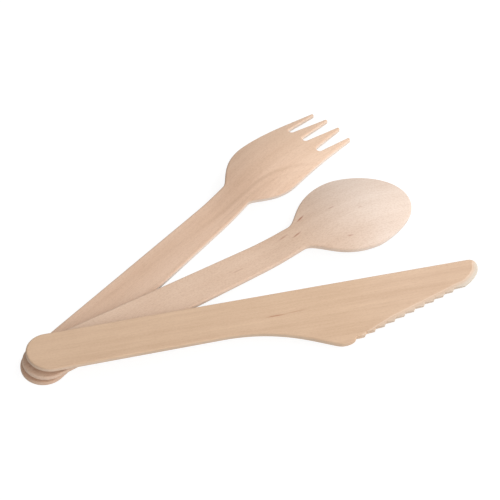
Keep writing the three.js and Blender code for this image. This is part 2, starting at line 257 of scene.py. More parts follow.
class Blank:
    """A flat sheet: the outline, anticlockwise, with its rim, and the points and faces that fill it."""

    def __init__(self, outline, arris):
        self.outline = np.array(outline)
        self.arris = np.broadcast_to(arris, len(outline))
        tangent = np.roll(self.outline, -1, 0) - np.roll(self.outline, 1, 0)
        outward = np.stack((tangent[:, 1], -tangent[:, 0]), 1)
        self.outward = outward / np.linalg.norm(outward, axis=1, keepdims=True)
        self.points = list(self.inset(RIM_SUPPORT))
        self.faces = []

    def inset(self, share):
        """The outline, moved inwards by a share of the arris."""
        return self.outline - self.outward * (self.arris * share)[:, None]

    def add_row(self, low, high, shares):
        """A row of points from one point of the outline to another. Returns their numbers."""
        start, end = self.points[low], self.points[high]
        inside = [start + (end - start) * share for share in shares[1:-1]]
        first = len(self.points)
        self.points.extend(inside)
        return [low, *range(first, first + len(inside)), high]

    def fill(self, row, lows, highs, shares):
        """Rows of faces between two runs of the outline, on from a first row. Returns the last row."""
        for low, high in zip(lows, highs):
            following = self.add_row(low, high, shares(low, high))
            bridge(self.faces, row, following)
            row = following
        return row

    def to_object(self, name):
        """The blank as an object, with the drop of its rim as an attribute called arris."""
        count = len(self.outline)
        points = list(self.points)
        drops = [0.0] * len(points)
        faces = list(self.faces)
        inner = list(range(count))
        for step in range(RIM_STEPS, -1, -1):
            angle = QUARTER * step / RIM_STEPS
            ring = [len(points) + i for i in range(count)]
            points.extend(self.inset(1 - math.cos(angle)))
            drops.extend(self.arris * (1 - math.sin(angle)))
            after = [(i + 1) % count for i in range(count)]
            faces.extend((ring[i], ring[after[i]], inner[after[i]], inner[i]) for i in range(count))
            inner = ring
        mesh = bpy.data.meshes.new(name)
        mesh.from_pydata([(u, v, 0) for u, v in points], [], faces)
        mesh.attributes.new("arris", "FLOAT", "POINT").data.foreach_set("value", drops)
        blank = bpy.data.objects.new(name, mesh)
        bpy.context.scene.collection.objects.link(blank)
        print(name, "blank:", len(points), "points,", len(faces), "faces")
        return blank


# %% [markdown]
# Thickness
# The three pieces are cut from the same sheet, so one small tree of Geometry Nodes gives all of them
# their thickness. It lifts the blank by half of it, less the drop of the rim, extrudes the open edge
# down to the mirror image below, and closes the piece with a flipped copy of the face. It is a group of
# its own, because the pressed pieces and the ground knife both need it. The place of each point on the
# flat sheet is stored first: the grain runs through the sheet before it is pressed, so the material
# reads that place later, and the grain follows every curve.

# %% Geometry Nodes group for the thickness
FLOAT = "NodeSocketFloat"
GEOMETRY = "NodeSocketGeometry"
SEAM_WIDTH = 0.001 * MM


def new_tree(name, sizes, **others):
    """An empty tree with a blank coming in, a piece going out, and named inputs for its sizes."""
    tree = bpy.data.node_groups.new(name, "GeometryNodeTree")
    tree.interface.new_socket("Blank", in_out="INPUT", socket_type=GEOMETRY)
    for label in sizes:
        tree.interface.new_socket(label, in_out="INPUT", socket_type=FLOAT)
    for label, kind in others.items():
        tree.interface.new_socket(label, in_out="INPUT", socket_type="NodeSocket" + kind)
    tree.interface.new_socket("Piece", in_out="OUTPUT", socket_type=GEOMETRY)
    return tree, tree.nodes.new("NodeGroupInput").outputs


def upwards(tree, height):
    """A vector that points up by a height."""
    return add_node(tree, "ShaderNodeCombineXYZ", {"Z": height}).outputs[0]


def thickness_tree():
    """The group that gives a blank its thickness and closes it."""
    tree, given = new_tree("veneer_thickness", ["Half Thickness"])
    drop = add_node(tree, "GeometryNodeInputNamedAttribute", {"Name": "arris"}, data_type="FLOAT")
    lift = calculate(tree, "SUBTRACT", given["Half Thickness"], drop.outputs["Attribute"])
    top = add_node(tree, "GeometryNodeSetPosition",
                   {"Geometry": given["Blank"], "Offset": upwards(tree, lift)})
    edge_faces = tree.nodes.new("GeometryNodeInputMeshEdgeNeighbors").outputs["Face Count"]
    is_rim = add_node(tree, "FunctionNodeCompare", {2: edge_faces, 3: 1}, data_type="INT", operation="EQUAL")
    rim = {"Mesh": top.outputs[0], "Selection": is_rim.outputs[0], "Offset Scale": 0.0}
    wall = add_node(tree, "GeometryNodeExtrudeMesh", rim, mode="EDGES")
    place = tree.nodes.new("GeometryNodeInputPosition").outputs[0]
    mirrored = add_node(tree, "ShaderNodeVectorMath", {0: place, 1: (1, 1, -1)}, operation="MULTIPLY")
    closed = add_node(tree, "GeometryNodeSetPosition",
                      {"Geometry": wall.outputs["Mesh"], "Selection": wall.outputs["Top"],
                       "Position": mirrored.outputs[0]})
    sunk = calculate(tree, "MULTIPLY", lift, -1.0)
    bottom = add_node(tree, "GeometryNodeSetPosition",
                      {"Geometry": given["Blank"], "Offset": upwards(tree, sunk)})
    flipped = add_node(tree, "GeometryNodeFlipFaces", {"Mesh": bottom.outputs[0]})
    joined = tree.nodes.new("GeometryNodeJoinGeometry")
    tree.links.new(closed.outputs[0], joined.inputs[0])
    tree.links.new(flipped.outputs[0], joined.inputs[0])
    merged = add_node(tree, "GeometryNodeMergeByDistance",
                      {"Geometry": joined.outputs[0], "Distance": SEAM_WIDTH})
    flat_place = tree.nodes.new("GeometryNodeInputPosition").outputs[0]
    stored = add_node(tree, "GeometryNodeStoreNamedAttribute",
                      {"Geometry": merged.outputs[0], "Name": "veneer", "Value": flat_place},
                      data_type="FLOAT_VECTOR", domain="POINT")
    add_node(tree, "NodeGroupOutput", {"Piece": stored.outputs[0]})
    return tree


THICKNESS_TREE = thickness_tree()
print("thickness group:", len(THICKNESS_TREE.nodes), "nodes")

# %% [markdown]
# Pressing
# The mould lifts the sheet from a bend in the handle to the crest of the back, lets it fall to the tip,
# and rounds it across. Sculpting could give such a form, and a lattice too, but the form follows a rule,
# so Geometry Nodes can write the rule out: two smooth ramps along the piece, a little curl at the tip,
# and a crown that grows with the square of the distance from the middle line, full from the cup on. All
# its sizes are inputs of the tree, so the fork and the spoon share it.

# %% Geometry Nodes tree for the pressing
PRESSED_SIZES = ["Sheet", "Bend", "Cup", "Crest", "Tip", "Crest Height", "Tip Drop", "Tip Slope", "Crown",
                 "Half Width"]


def finish_tree(tree, geometry, birch):
    """The end of a tree: plain geometry with its material."""
    plain = add_node(tree, "GeometryNodeRealizeInstances", {"Geometry": geometry})
    dressed = add_node(tree, "GeometryNodeSetMaterial", {"Geometry": plain.outputs[0], "Material": birch})
    add_node(tree, "NodeGroupOutput", {"Piece": dressed.outputs[0]})
    return tree


def pressing_tree():
    """The tree that presses a blank as the mould does."""
    tree, given = new_tree("pressed_veneer", PRESSED_SIZES, Birch="Material")
    half = calculate(tree, "DIVIDE", given["Sheet"], 2.0)
    thick = add_node(tree, "GeometryNodeGroup", {"Blank": given["Blank"], "Half Thickness": half},
                     node_tree=THICKNESS_TREE)
    place = tree.nodes.new("GeometryNodeInputPosition").outputs[0]
    u, v, _ = add_node(tree, "ShaderNodeSeparateXYZ", {0: place}).outputs
    crest, tip = given["Crest"], given["Tip"]
    rise = ramp(tree, u, given["Bend"], crest, 0.0, given["Crest Height"], shape="SMOOTHSTEP")
    along = ramp(tree, u, crest, tip)
    whole_fall = calculate(tree, "ADD", given["Crest Height"], given["Tip Drop"])
    fall = ramp(tree, u, crest, tip, 0.0, whole_fall, shape="SMOOTHSTEP")
    curl = calculate(tree, "MULTIPLY", given["Tip Slope"], calculate(tree, "SUBTRACT", tip, crest))
    curl = calculate(tree, "MULTIPLY", curl, calculate(tree, "MULTIPLY", along, along))
    curl = calculate(tree, "MULTIPLY", curl, calculate(tree, "SUBTRACT", along, 1.0))
    across = calculate(tree, "DIVIDE", v, given["Half Width"])
    crown = calculate(tree, "MULTIPLY", given["Crown"], calculate(tree, "MULTIPLY", across, across))
    crown = ramp(tree, u, given["Bend"], given["Cup"], 0.0, crown, shape="SMOOTHSTEP")
    height = calculate(tree, "SUBTRACT", rise, calculate(tree, "ADD", fall, curl))
    height = calculate(tree, "SUBTRACT", height, crown)
    height = calculate(tree, "ADD", height, half)
    pressed = add_node(tree, "GeometryNodeSetPosition",
                       {"Geometry": thick.outputs[0], "Offset": upwards(tree, height)})
    return finish_tree(tree, pressed.outputs[0], given["Birch"])


PRESSING_TREE = pressing_tree()
print("pressing tree:", len(PRESSING_TREE.nodes), "nodes")

# %% [markdown]
# From a tree to a piece in its place
# A modifier runs a tree on a blank, and its result is turned into a plain mesh, because other programs
# know nothing of modifiers. The blank lies flat along X, and the real piece lies turned and tilted in the
# fan. The solid of the frame says how: the widest triangle on it lies on the flat of the handle, and the
# way that this face leans is the way that the piece points. Along those axes the new mesh and the solid
# have the same box, which gives the place, and the printed differences show how well the two agree.

# %% Running a tree and seating the result
def run_tree(blank, tree, **inputs):
    """Runs a tree on an object with the given inputs and returns the result as a plain mesh."""
    modifier = blank.modifiers.new(tree.name, "NODES")
    modifier.node_group = tree
    for socket in tree.interface.items_tree:
        label = socket.name.replace(" ", "_").lower()
        if label in inputs:
            modifier[socket.identifier] = inputs[label]
    graph = bpy.context.evaluated_depsgraph_get()
    mesh = bpy.data.meshes.new_from_object(
        blank.evaluated_get(graph), preserve_all_data_layers=True, depsgraph=graph)
    bpy.data.objects.remove(blank)
    return mesh


def lie_of(node):
    """The axes of a piece as it lies in the fan: along its handle, to its left, and up from its face."""
    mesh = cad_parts[node].data
    mesh.calc_loop_triangles()
    widest = max(mesh.loop_triangles, key=lambda triangle: triangle.area)
    a, b, c = (mesh.vertices[i].co for i in widest.vertices)
    up = (b - a).cross(c - a).normalized()
    up = up if up.z > 0 else -up
    lean = Vector((up.x, up.y, 0))
    along = (lean - up * lean.dot(up)).normalized()
    along = along if along.x > 0 else -along
    return Matrix((along, up.cross(along), up)).transposed()


def box_of(points):
    """The low and the high corner of the box round some points."""
    low = Vector([min(axis) for axis in zip(*points)])
    high = Vector([max(axis) for axis in zip(*points)])
    return low, high


def seat(mesh, node):
    """Makes a mesh the piece that stands for a solid, in the solid's place."""
    lie = lie_of(node)
    own_low, own_high = box_of([v.co for v in mesh.vertices])
    cad_low, cad_high = box_of([lie.transposed() @ v.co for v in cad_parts[node].data.vertices])
    shift = (cad_low + cad_high - own_low - own_high) / 2
    mesh.transform(lie.to_4x4() @ Matrix.Translation(shift))
    mesh.shade_smooth()
    mesh.name = node + "_veneer"
    piece = bpy.data.objects.new(mesh.name, mesh)
    bpy.context.scene.collection.objects.link(piece)
    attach(piece, "root")
    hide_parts(node)
    apart = [round(d / MM, 3) for d in (own_high - own_low) - (cad_high - cad_low)]
    print(piece.name, "has", len(mesh.polygons), "faces; its box differs from the solid's by", apart, "mm")


# %% [markdown]
# Birch
# Birch veneer is pale, from yellowish to pink, and almost even. What shows is fine: soft bands along the
# grain, fibres as thin streaks, short dark pores, a fine speckle, faint clouds, and now and then a growth
# line or a brown fleck. Photographs of wood would be the quick way, but a procedural material has no seams
# and any resolution. Most of the marks are noises that are stretched along the sheet, read from the place
# that was stored before the pressing, and lines and flecks stand at chosen places of the sheet.

# %% Noises, flecks and growth lines
FLECK_CORE = 0.2
FAINT_SHARE = 0.3


def noise(tree, place, along, across, seed, detail):
    """Noise of so many waves to the metre along the grain and across it."""
    waves = {0: place, 1: (along, across, across), 2: (seed, seed, seed)}
    scaled = add_node(tree, "ShaderNodeVectorMath", waves, operation="MULTIPLY_ADD")
    inputs = {"Vector": scaled.outputs[0], "Scale": 1.0, "Detail": detail}
    return add_node(tree, "ShaderNodeTexNoise", inputs).outputs[0]


def blend(tree, share, below, above, mode="MIX"):
    """Lays one colour over another."""
    mix = add_node(tree, "ShaderNodeMix", {0: share, 6: below, 7: above}, data_type="RGBA", blend_type=mode)
    return mix.outputs[2]


def fleck(tree, place, centre, half_length, half_width, slant, strength):
    """A soft mark at a slant to the grain at one place of the sheet, as a share from 0 to its strength."""
    own_frame = {"Vector": place, "Location": (*centre, 0), "Rotation": (0, 0, math.radians(slant)),
                 "Scale": (half_length, half_width, 1)}
    own_place = add_node(tree, "ShaderNodeMapping", own_frame, vector_type="TEXTURE")
    distance = add_node(tree, "ShaderNodeVectorMath", {0: own_place.outputs[0]}, operation="LENGTH")
    return ramp(tree, distance.outputs["Value"], FLECK_CORE, 1, strength, 0, shape="SMOOTHSTEP")


def growth_line(tree, place, start, slope, bend, fade, half_width, strength):
    """A soft line at a slope to a point of the sheet, which curves away after it and fades both ways."""
    u, v, _ = add_node(tree, "ShaderNodeSeparateXYZ", {0: place}).outputs
    past = calculate(tree, "SUBTRACT", u, start[0])
    curved = calculate(tree, "MAXIMUM", past, 0.0)
    curved = calculate(tree, "MULTIPLY", calculate(tree, "MULTIPLY", curved, curved), bend)
    straight = calculate(tree, "MULTIPLY_ADD", past, slope, start[1])
    away = calculate(tree, "SUBTRACT", calculate(tree, "SUBTRACT", v, straight), curved)
    away = calculate(tree, "ABSOLUTE", away)
    fade_start = fade / 3
    held = ramp(tree, calculate(tree, "ABSOLUTE", past), fade_start, fade, strength, strength * FAINT_SHARE)
    return ramp(tree, away, 0, half_width, held, 0, shape="SMOOTHSTEP")


print("marks of the wood ready")

# %% [markdown]
# Cut edges and ground faces
# Cut edges differ from the faces. On fork and spoon they are paler where the cut runs along the grain, and
# nearly plain round the handle end, where it runs across; the paleness along the sides is partly their own
# colour and partly painted light on the thin edges. The knife's are a little paler round its end, and along
# its sides they carry painted shade, a grey that darkens them. Its ground bevel is greyer too, most of all
# at the point, with a painted highlight along the inner line. A mask painted by hand would do, but the
# shapes already know these places: the rim has the drop stored in its points, and the grinding will store
# how near the edge each point is.

# %% Colours of cut edges and bevel
ARRIS = 0.6 * MM
CUT_START = 0.2 * ARRIS
# Pale cut wood; on the sides of fork and spoon it is partly painted light, and on the bevel a painted
# highlight
PALE_CUT_AND_HIGHLIGHT_COLOUR = (0.88, 0.78, 0.69, 1)
# Painted shade: a grey laid over the knife's side edges to darken them
PAINTED_SIDE_SHADE_COLOUR = (0.55, 0.5, 0.43, 1)
END_GRAIN = 12 * MM
SIDE_GRAIN = 40 * MM
SAW_COLOUR = (0.57, 0.54, 0.48, 1)
POINT_COLOUR = (0.68, 0.64, 0.56, 1)
SAW_END = 150 * MM
POINT_START = 160 * MM
SAW_SHARE = 0.4
POINT_SHARE = 0.7
BEVEL_FAINT = 0.05
BEVEL_FULL = 0.7
# A painted highlight: a pale line along the inner line of the bevel
CREASE_HIGHLIGHT_PLACE = 0.14
CREASE_HIGHLIGHT_REACH = 0.12
CREASE_HIGHLIGHT_SHARE = 0.25


def cut_edges(tree, u, colour, end_share, side_colour_and_shading, side_share):
    """Lays colours over the rim: pale cut wood at the end; along the sides partly painted light on fork and
    spoon, painted shade on the knife.
    """
    drop = add_node(tree, "ShaderNodeAttribute", attribute_name="arris").outputs["Fac"]
    # Along the sides this colour is partly painted light on fork and spoon, and painted shade on the knife
    rim_colour_and_shading = blend(tree, ramp(tree, u, END_GRAIN, SIDE_GRAIN), PALE_CUT_AND_HIGHLIGHT_COLOUR, side_colour_and_shading)
    cut_share = ramp(tree, u, END_GRAIN, SIDE_GRAIN, end_share, side_share)
    return blend(tree, ramp(tree, drop, CUT_START, ARRIS, 0, cut_share), colour, rim_colour_and_shading)


def ground_bevel(tree, u, colour):
    """Lays grey over the ground bevel, and a painted highlight along its inner line."""
    ground = add_node(tree, "ShaderNodeAttribute", attribute_name="ground").outputs["Fac"]
    bevel_share = ramp(tree, u, SAW_END, POINT_START, SAW_SHARE, POINT_SHARE)
    bevel_share = ramp(tree, ground, BEVEL_FAINT, BEVEL_FULL, 0, bevel_share)
    bevel_colour = blend(tree, ramp(tree, u, SAW_END, POINT_START), SAW_COLOUR, POINT_COLOUR)
    colour = blend(tree, bevel_share, colour, bevel_colour)
    # Painted highlight along the crease of the bevel
    from_crease = calculate(tree, "ABSOLUTE", calculate(tree, "SUBTRACT", ground, CREASE_HIGHLIGHT_PLACE))
    crease_highlight_share = ramp(tree, from_crease, 0, CREASE_HIGHLIGHT_REACH, CREASE_HIGHLIGHT_SHARE, 0, shape="SMOOTHSTEP")
    return blend(tree, crease_highlight_share, colour, PALE_CUT_AND_HIGHLIGHT_COLOUR)


print("cut edges with an arris of", round(ARRIS / MM, 1), "mm")

# %% [markdown]
# The whole material
# Bands, fibres and clouds add up to a tone, which runs from the deep colour of the piece to its pale one.
# Speckle, pores, lines and flecks are laid over it, then the cut edges and the bevel. The three pieces come
# from different sheets, so each has its own pair of colours and its own shares, and a tint over the handle,
# partly its own tone and partly painted light and shade that sets how bright the handle is beside the head.
# The fibres and the pores also make the surface a little uneven, in roughness and in relief.

# %% Birch as a procedural material
BAND_SHARE = 1.2
CLOUD_SHARE = 0.5
TONE_SHIFT = -0.05
DEEP_TONE = 0.3
PALE_TONE = 1.3
SPECKLE_START = 0.42
SPECKLE_FULL = 0.7
SPECKLE_TINT = (0.9, 0.86, 0.82, 1)
PORE_START = 0.6
PORE_FULL = 0.8
PORE_SHARE = 0.25
PORE_COLOUR = (0.36, 0.2, 0.11, 1)
LINE_COLOUR = (0.5, 0.29, 0.17, 1)
FLECK_COLOUR = (0.4, 0.13, 0.07, 1)
HEAD_START = 112 * MM
HEAD_END = 140 * MM
FIBRE_LOW = 0.3
FIBRE_HIGH = 0.7
SMOOTHEST = 0.56
ROUGHEST = 0.68
BIRCH_GLOSS = 0.3
RELIEF_STRENGTH = 0.2
RELIEF_DEPTH = 0.05 * MM


def birch(name, pale, deep, seed, fibre_share, speckle_share, end_share, side_colour_and_shading, side_share,
          handle_tint_and_shading, flecks=(), lines=()):
    """Birch between two tones, with shares of fibres, speckle and cut edges, and with its own marks."""
    finish = bpy.data.materials.new(name)
    finish.use_nodes = True
    tree = finish.node_tree
    place = add_node(tree, "ShaderNodeAttribute", attribute_name="veneer").outputs["Vector"]
    u = add_node(tree, "ShaderNodeSeparateXYZ", {0: place}).outputs["X"]
    bands = noise(tree, place, along=9, across=240, seed=seed, detail=2)
    fibres = noise(tree, place, along=40, across=1300, seed=seed + 10, detail=3)
    pores = noise(tree, place, along=260, across=7000, seed=seed + 20, detail=1)
    clouds = noise(tree, place, along=70, across=110, seed=seed + 30, detail=2)
    speckle = noise(tree, place, along=1200, across=2400, seed=seed + 40, detail=1)
    tone = calculate(tree, "MULTIPLY_ADD", bands, BAND_SHARE, TONE_SHIFT - fibre_share / 2)
    tone = calculate(tree, "MULTIPLY_ADD", fibres, fibre_share, tone)
    tone = calculate(tree, "MULTIPLY_ADD", clouds, CLOUD_SHARE, tone)
    colour = blend(tree, ramp(tree, tone, DEEP_TONE, PALE_TONE), (*deep, 1), (*pale, 1))
    speckled = ramp(tree, speckle, SPECKLE_START, SPECKLE_FULL, 0, speckle_share)
    colour = blend(tree, speckled, colour, SPECKLE_TINT, "MULTIPLY")
    colour = blend(tree, ramp(tree, pores, PORE_START, PORE_FULL, 0, PORE_SHARE), colour, PORE_COLOUR)
    # Handle tint: partly the sheet's own tone, partly painted light and shade for the handle's brightness
    colour = blend(tree, ramp(tree, u, HEAD_START, HEAD_END, 1, 0), colour, (*handle_tint_and_shading, 1), "MULTIPLY")
    for line in lines:
        colour = blend(tree, growth_line(tree, place, *line), colour, LINE_COLOUR)
    for mark in flecks:
        colour = blend(tree, fleck(tree, place, *mark), colour, FLECK_COLOUR)
    colour = cut_edges(tree, u, colour, end_share, side_colour_and_shading, side_share)
    colour = ground_bevel(tree, u, colour)
    relief = calculate(tree, "SUBTRACT", fibres, ramp(tree, pores, PORE_START, PORE_FULL))
    bump = add_node(tree, "ShaderNodeBump",
                    {"Height": relief, "Strength": RELIEF_STRENGTH, "Distance": RELIEF_DEPTH})
    roughness = ramp(tree, fibres, FIBRE_LOW, FIBRE_HIGH, SMOOTHEST, ROUGHEST)
    shader = tree.nodes["Principled BSDF"]
    tree.links.new(colour, shader.inputs["Base Color"])
    tree.links.new(roughness, shader.inputs["Roughness"])
    tree.links.new(bump.outputs[0], shader.inputs["Normal"])
    shader.inputs["Specular IOR Level"].default_value = BIRCH_GLOSS
    print(name, "has", len(tree.nodes), "nodes")
    return finish


# %% [markdown]
# The shared handle
# Fork and spoon have the same handle: a half-round end, a straight taper to the neck, and a curved
# shoulder that leaves the handle along its taper. The mould starts to lift it a little before the neck.
# Only one edge is drawn, and the other is its mirror image.

# %% Handle and shoulder
SHEET = 1.8 * MM
END_RADIUS = 8.2 * MM
BEND = 94.2 * MM
END_STEPS = 20
HANDLE_STEPS = 45
SHOULDER_STEPS = 40


def handle_edge(neck, neck_reach, widest, shoulder_reach):
    """Left edge from the middle of the handle end to the widest part of the head."""
    end = arc(point(END_RADIUS, 0), END_RADIUS, 2 * QUARTER, QUARTER, END_STEPS)
    taper = (neck - end[-1]) / np.linalg.norm(neck - end[-1])
    straight = bezier([end[-1], neck], HANDLE_STEPS)
    leaving = neck + taper * neck_reach
    shoulder = bezier([neck, leaving, widest - point(shoulder_reach, 0), widest], SHOULDER_STEPS)
    return end + straight + shoulder


def mirrored(run):
    """The same run on the other side of the middle line."""
    return [point(u, -v) for u, v in run]


print("handle end of", round(2 * END_RADIUS / MM, 1), "mm across")

# %% [markdown]
# Fork
# The head of the fork has four tines with round tips, and slots with round roots. Its outline runs round
# all of them, and the blank is one sheet that splits into four strips at the roots of the slots, so that
# no cut has to be made afterwards and every edge gets its round rim. The outer tines end a little
# earlier than the inner ones.

# %% Outline of the fork
FORK_NECK = point(107.3, 5.96) * MM
FORK_NECK_REACH = 2.5 * MM
FORK_WIDEST = 123.65 * MM
FORK_SHOULDER_REACH = 9.75 * MM
FORK_HALF_WIDTH = 13.26 * MM
FORK_CREST = 121.1 * MM
FORK_TIP = 159.8 * MM
FORK_SIDE_REACH = 5.25 * MM
FORK_SIDE_STEPS = 200
TINE_COUNT = 4
TINE_TIP_RADIUS = 0.52 * MM
TINE_TIP_SPACING = 5.87 * MM
TINE_SETBACK = 0.9 * MM
SLOT_LENGTH = 16 * MM
SLOT_ROOT = FORK_TIP - SLOT_LENGTH
SLOT_ROOT_RADIUS = 1 * MM
SLOT_ROOT_SPACING = 6.6 * MM
ROOT_SUPPORT = RIM_SUPPORT * ARRIS
ROOT_CLEARANCE = 1.9 * MM
MIDDLE_TINE = (TINE_COUNT - 1) / 2
SIDE_STEPS = 24
TINE_STEPS = 26
ROUND_STEPS = 6

outer_tip = point(FORK_TIP - TINE_TIP_RADIUS - TINE_SETBACK,
                  MIDDLE_TINE * TINE_TIP_SPACING + TINE_TIP_RADIUS)
shoulder_end = point(FORK_WIDEST, FORK_HALF_WIDTH)
side_controls = [shoulder_end, shoulder_end + point(FORK_SIDE_REACH, 0), outer_tip]
fork_side = [shoulder_end] + bezier(side_controls, FORK_SIDE_STEPS)


def side_at(u):
    """Half the width of the fork's head beside and before the tines."""
    return float(np.interp(u, *np.transpose(fork_side)))


def tine_edge(tine, side):
    """One edge of a tine, from the root of its slot to its tip. Side is 1 for left and -1 for right."""
    is_outer = abs(tine + side - MIDDLE_TINE) > MIDDLE_TINE
    setback = TINE_SETBACK if tine in (0, TINE_COUNT - 1) else 0
    tip = point(FORK_TIP - TINE_TIP_RADIUS - setback, (tine - MIDDLE_TINE) * TINE_TIP_SPACING)
    slot = point(SLOT_ROOT + SLOT_ROOT_RADIUS, (tine - MIDDLE_TINE + side / 2) * SLOT_ROOT_SPACING)
    turn = (2 * QUARTER, (2 + side) * QUARTER, ROUND_STEPS)
    root = arc(slot, SLOT_ROOT_RADIUS, *turn)[1:]
    straight = bezier([root[-1], tip + point(0, side * TINE_TIP_RADIUS)], TINE_STEPS)
    if is_outer:
        beside = arc(slot, SLOT_ROOT_RADIUS + ROOT_SUPPORT, *turn)[1:]
        root = [point(u, side * side_at(u)) for u, _ in beside]
        straight = [point(u, side * side_at(u)) for u, _ in straight]
    return root + straight + arc(tip, TINE_TIP_RADIUS, side * QUARTER, 0, ROUND_STEPS)[1:]


fork_edge = handle_edge(FORK_NECK, FORK_NECK_REACH, shoulder_end, FORK_SHOULDER_REACH)
stations = np.linspace(FORK_WIDEST, SLOT_ROOT - ROOT_CLEARANCE, SIDE_STEPS)[1:]
fork_edge += [point(u, side_at(u)) for u in [*stations, SLOT_ROOT - ROOT_SUPPORT]]
print("fork of", round(FORK_TIP / MM, 1), "mm, tines of", round((FORK_TIP - SLOT_ROOT) / MM, 1), "mm")

# %% [markdown]
# The outline goes round the fork anticlockwise, from the handle end along the right edge, round each tine
# and slot, and back along the left edge. The numbers of its points are kept on the way, because the rows
# of faces run from one edge to the other. The rows of the handle have the columns of all four tines side
# by side, and at the roots of the slots each tine takes its own along.

# %% Blank of the fork
COLUMNS_PER_TINE = 8
TIP_ARRIS = 0.35 * MM

fork_outline = list(mirrored(fork_edge))
fork_lows = list(range(1, len(fork_edge)))
tine_lows, tine_highs, slot_roots = [], [], []
for tine in range(TINE_COUNT):
    right, left = tine_edge(tine, -1), tine_edge(tine, 1)
    first = len(fork_outline)
    fork_outline += right + left[-2::-1]
    count = len(fork_outline) - first
    tine_lows.append([first + i for i in range(len(right) - 1)])
    tine_highs.append([first + count - 1 - i for i in range(len(left) - 1)])
    if tine < TINE_COUNT - 1:
        slot_roots.append(len(fork_outline))
        fork_outline.append(point(SLOT_ROOT, (tine - MIDDLE_TINE + 0.5) * SLOT_ROOT_SPACING))
fork_highs = [len(fork_outline) + i for i in range(len(fork_edge) - 1)][::-1]
fork_outline += fork_edge[:0:-1]

slot_shares = [0.5 + fork_outline[root][1] / (2 * side_at(SLOT_ROOT)) for root in slot_roots]
column_places = np.linspace(0, TINE_COUNT, TINE_COUNT * COLUMNS_PER_TINE + 1)
fork_shares = np.interp(column_places, range(TINE_COUNT + 1), [0, *slot_shares, 1])
tine_shares = np.linspace(0, 1, COLUMNS_PER_TINE + 1)

fork_arris = [np.interp(u, (SLOT_ROOT, FORK_TIP), (ARRIS, TIP_ARRIS)) for u, _ in fork_outline]
fork_blank = Blank(fork_outline, fork_arris)
row = fork_blank.fill([0], fork_lows[:-1], fork_highs[:-1], lambda low, high: fork_shares)
tine_starts = [fork_lows[-1], *slot_roots, fork_highs[-1]]
tine_rows = [fork_blank.add_row(low, high, tine_shares) for low, high in zip(tine_starts, tine_starts[1:])]
root_row = tine_rows[0] + [number for tine_row in tine_rows[1:] for number in tine_row[1:]]
bridge(fork_blank.faces, row, root_row)
for tine_row, lows, highs in zip(tine_rows, tine_lows, tine_highs):
    last = fork_blank.fill(tine_row, lows, highs, lambda low, high: tine_shares)
    bridge(fork_blank.faces, last, [lows[-1] + 1])
fork_flat = fork_blank.to_object("fork")

# %% Fork, pressed and seated
# Where each growth line starts, its slope, its bend, how far it fades, half its width, and its strength
FORK_LINES = [
    (point(113, -2.6) * MM, -0.09, -10.2, 27 * MM, 1.3 * MM, 0.3),
    (point(109, -4.6) * MM, -0.07, -9, 27 * MM, 0.6 * MM, 0.12),
]
# The fork's side edges get the pale cut colour at 0.85, partly painted light; its handle tint is partly
# painted light
fork_birch = birch(
    "fork_birch", pale=(0.845, 0.635, 0.49), deep=(0.715, 0.495, 0.35), seed=3.0, fibre_share=0.6,
    speckle_share=0.6, end_share=0.1, side_colour_and_shading=PALE_CUT_AND_HIGHLIGHT_COLOUR, side_share=0.85,
    handle_tint_and_shading=(1.02, 0.985, 0.97), lines=FORK_LINES)
fork_mesh = run_tree(
    fork_flat, PRESSING_TREE, sheet=SHEET, bend=BEND, cup=FORK_CREST, crest=FORK_CREST, tip=FORK_TIP,
    crest_height=3.4 * MM, tip_drop=6.18 * MM, tip_slope=0.31, crown=2.1 * MM,
    half_width=FORK_HALF_WIDTH, birch=fork_birch)
seat(fork_mesh, "fork")

# %% [markdown]
# Spoon
# The bowl of the spoon widens from the neck in one long curve, and ends in a blunt round tip. It lies face
# down, so the light falls on its back.

# %% Spoon, outline to piece
SPOON_NECK = point(111.4, 5.6) * MM
SPOON_NECK_REACH = 4.5 * MM
BOWL_CUP = 124 * MM
BOWL_CREST = 131.4 * MM
BOWL_WIDEST = 135.7 * MM
BOWL_HALF_WIDTH = 17.1 * MM
BOWL_SHOULDER_REACH = 15.5 * MM
SPOON_TIP = 158.7 * MM
BOWL_SIDE_REACH = 4.5 * MM
BOWL_TIP_REACH = 12.1 * MM
BOWL_STEPS = 48
SPOON_COLUMNS = 32

bowl_side = point(BOWL_WIDEST, BOWL_HALF_WIDTH)
spoon_edge = handle_edge(SPOON_NECK, SPOON_NECK_REACH, bowl_side, BOWL_SHOULDER_REACH)
bowl_controls = [spoon_edge[-1], spoon_edge[-1] + point(BOWL_SIDE_REACH, 0)]
bowl_controls += [point(SPOON_TIP, BOWL_TIP_REACH), point(SPOON_TIP, 0)]
spoon_edge += bezier(bowl_controls, BOWL_STEPS)
last = len(spoon_edge) - 1
spoon_outline = mirrored(spoon_edge) + spoon_edge[-2:0:-1]
spoon_shares = np.linspace(0, 1, SPOON_COLUMNS + 1)
spoon_blank = Blank(spoon_outline, ARRIS)
row = spoon_blank.fill([0], range(1, last), range(2 * last - 1, last, -1), lambda low, high: spoon_shares)
bridge(spoon_blank.faces, row, [last])
spoon_flat = spoon_blank.to_object("spoon")

# The centre of each fleck, half its length, half its width, its slant in degrees, and its strength
SPOON_FLECKS = [
    (point(117.1, 5.9) * MM, 2.4 * MM, 0.5 * MM, 18, 0.75),
    (point(112.1, 0.5) * MM, 2.6 * MM, 0.45 * MM, 8, 0.65),
    (point(128.5, 3.4) * MM, 2 * MM, 0.35 * MM, 0, 0.4),
    (point(127.7, -10.3) * MM, 1.5 * MM, 0.4 * MM, -15, 0.5),
    (point(137.5, -1.6) * MM, 1.2 * MM, 0.35 * MM, 0, 0.3),
    (point(107.6, 2.5) * MM, 3 * MM, 0.5 * MM, 5, 0.4),
    (point(86.5, -1.2) * MM, 3 * MM, 0.35 * MM, 0, 0.25),
]
